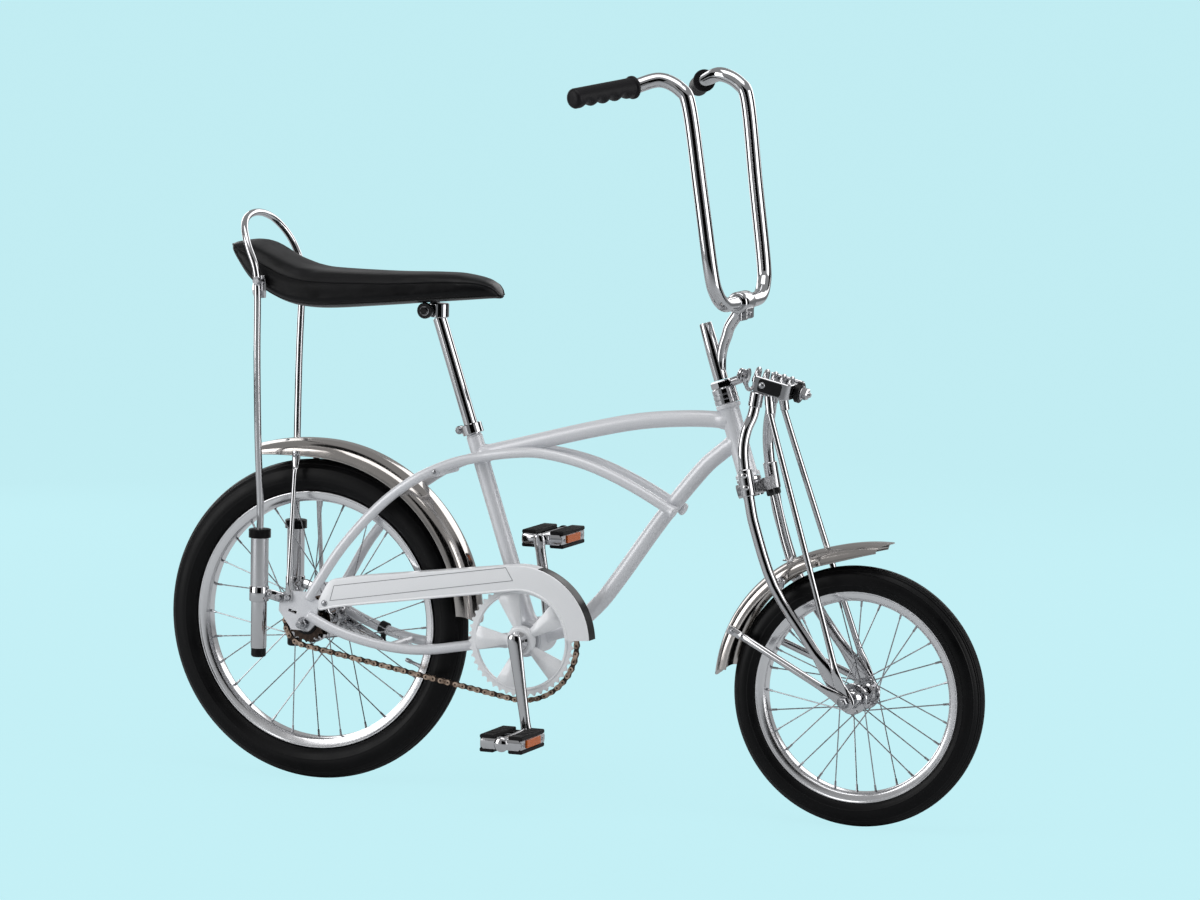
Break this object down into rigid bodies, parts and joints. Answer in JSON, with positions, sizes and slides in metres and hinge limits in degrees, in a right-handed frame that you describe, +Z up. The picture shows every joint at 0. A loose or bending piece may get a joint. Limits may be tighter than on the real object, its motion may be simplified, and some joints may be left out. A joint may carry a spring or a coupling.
{
  "type": "chopper bicycle",
  "caption": "Child's chopper bicycle with a cantilever frame, springer fork, high-rise bars, long saddle, sissy bar and wire wheels.",
  "frame": {"origin": "where the rider sits, on the lowest flat of the saddle's top, above the bicycle's middle plane", "axes": "+X forward towards the front wheel, +Y to the rider's left, +Z up"},
  "size_m": [1.3503, 0.5358, 1.1377],
  "materials": {
    "silver_paint": "metallic gloss",
    "chrome": "polished",
    "black_tyre": "matte",
    "black_rubber": "matte",
    "black_vinyl": "grained vinyl",
    "black_enamel": "gloss",
    "bronze_steel": "oiled"
  },
  "bodies": {
    "frame": {"head_tube": "silver_paint", "top_tube": "silver_paint", "down_tube": "silver_paint", "seat_tube": "silver_paint", "bottom_bracket": "silver_paint", "cantilever_stay_left": "silver_paint", "cantilever_stay_right": "silver_paint", "chain_stay_left": "silver_paint", "chain_stay_right": "silver_paint", "dropout_left": "silver_paint", "dropout_right": "silver_paint", "rear_axle": "chrome", "seat_post": "chrome", "seat_collar": "chrome", "saddle": "black_vinyl", "saddle_clamp": "black_enamel", "sissy_bar": "chrome", "shock_left": "chrome", "shock_right": "chrome", "rear_fender": "chrome", "rear_fender_stay_left": "chrome", "rear_fender_stay_right": "chrome", "chain_guard": "silver_paint", "chain": "bronze_steel", "brake_arm": "chrome", "brake_clip": "black_enamel"},
    "steering": {"headset": "chrome", "fork_spring": "chrome", "spring_yoke": "chrome", "fork_leg_left": "chrome", "fork_leg_right": "chrome", "fork_crown": "chrome", "truss_rod_left": "chrome", "truss_rod_right": "chrome", "front_axle": "chrome", "front_fender": "chrome", "front_fender_brace_left": "chrome", "front_fender_brace_right": "chrome", "stem": "chrome", "handlebar": "chrome", "grip_left": "black_rubber", "grip_right": "black_rubber"},
    "front_wheel": {"front_tyre": "black_tyre", "front_wire_wheel": "chrome"},
    "rear_wheel": {"rear_tyre": "black_tyre", "rear_wire_wheel": "chrome"},
    "rear_sprocket": {"rear_sprocket": "bronze_steel"},
    "crank": {"crank": "chrome", "chainring": "silver_paint"},
    "pedal_right": {"pedal_cage_right": "chrome", "pedal_tread_front_right": "black_rubber", "pedal_tread_rear_right": "black_rubber"},
    "pedal_left": {"pedal_cage_left": "chrome", "pedal_tread_front_left": "black_rubber", "pedal_tread_rear_left": "black_rubber"}
  },
  "joints": [
    {"name": "steering", "type": "hinge", "parent": "frame", "child": "steering", "pos_m": [0.57, 0, -0.174], "axis": [-0.309, 0, 0.9511], "range_deg": [-85, 85]},
    {"name": "front_wheel_spin", "type": "hinge", "parent": "steering", "child": "front_wheel", "pos_m": [0.792, 0, -0.608], "axis": [0, 1, 0], "continuous": true},
    {"name": "rear_wheel_spin", "type": "hinge", "parent": "frame", "child": "rear_wheel", "pos_m": [-0.11, 0, -0.554], "axis": [0, 1, 0], "continuous": true},
    {"name": "sprocket_spin", "type": "hinge", "parent": "frame", "child": "rear_sprocket", "pos_m": [-0.11, 0, -0.554], "axis": [0, 1, 0], "continuous": true},
    {"name": "crank_spin", "type": "hinge", "parent": "frame", "child": "crank", "pos_m": [0.2555, 0, -0.556], "axis": [0, 1, 0], "continuous": true},
    {"name": "pedal_right_spin", "type": "hinge", "parent": "crank", "child": "pedal_right", "pos_m": [0.27861, 0, -0.69712], "axis": [0, 1, 0], "continuous": true},
    {"name": "pedal_left_spin", "type": "hinge", "parent": "crank", "child": "pedal_left", "pos_m": [0.23239, 0, -0.41488], "axis": [0, 1, 0], "continuous": true}
  ],
  "couplings": [
    {"joint": "sprocket_spin", "follows": "crank_spin", "ratio": 2.5556}
  ]
}
